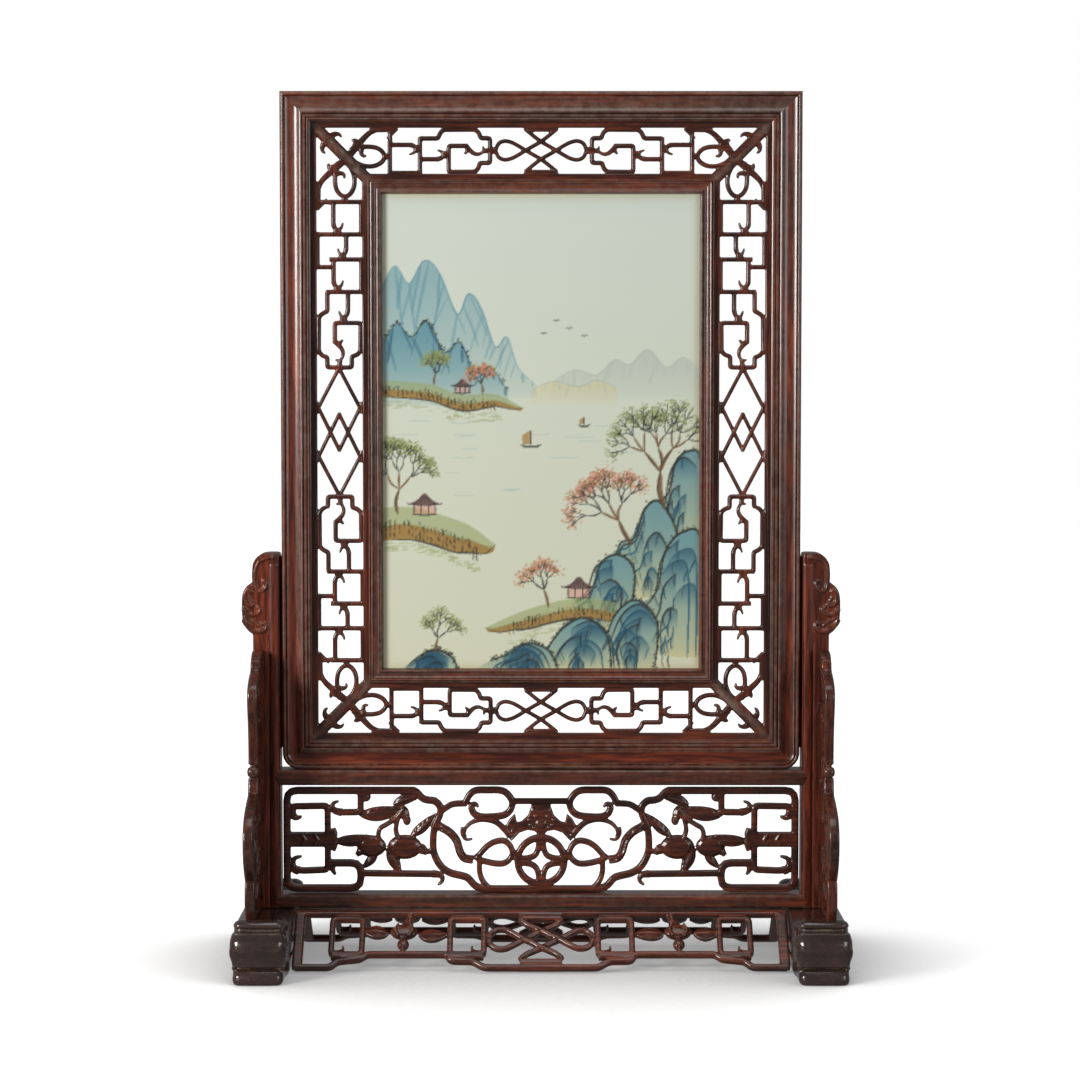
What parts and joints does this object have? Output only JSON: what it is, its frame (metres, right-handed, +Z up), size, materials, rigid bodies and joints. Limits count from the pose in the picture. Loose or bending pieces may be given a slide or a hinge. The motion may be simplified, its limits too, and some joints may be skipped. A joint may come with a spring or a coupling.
{
  "type": "table screen",
  "caption": "Upright table screen: a painted porcelain plaque in an openwork hardwood frame, standing in a carved stand.",
  "frame": {"origin": "on the table, under the middle of the stand", "axes": "+Z up, +X to the right seen from the front, +Y towards the back"},
  "size_m": [0.4772, 0.216, 0.687],
  "materials": {
    "hardwood": "satin",
    "carved_hardwood": "satin",
    "porcelain": "gloss"
  },
  "bodies": {
    "root": {"outer_top_rail": "hardwood", "outer_bottom_rail": "hardwood", "outer_stile_left": "hardwood", "outer_stile_right": "hardwood", "fret_top": "carved_hardwood", "fret_bottom": "carved_hardwood", "fret_left": "carved_hardwood", "fret_right": "carved_hardwood", "inner_top_rail": "hardwood", "inner_bottom_rail": "hardwood", "inner_stile_left": "hardwood", "inner_stile_right": "hardwood", "plaque": "porcelain", "post_left": "hardwood", "post_right": "hardwood", "spandrel_front_left": "hardwood", "spandrel_front_right": "hardwood", "spandrel_back_left": "hardwood", "spandrel_back_right": "hardwood", "rail_lower": "hardwood", "rail_upper": "hardwood", "panel": "carved_hardwood", "apron_front": "carved_hardwood", "apron_back": "carved_hardwood", "foot_left": "carved_hardwood", "foot_right": "carved_hardwood"}
  },
  "joints": []
}
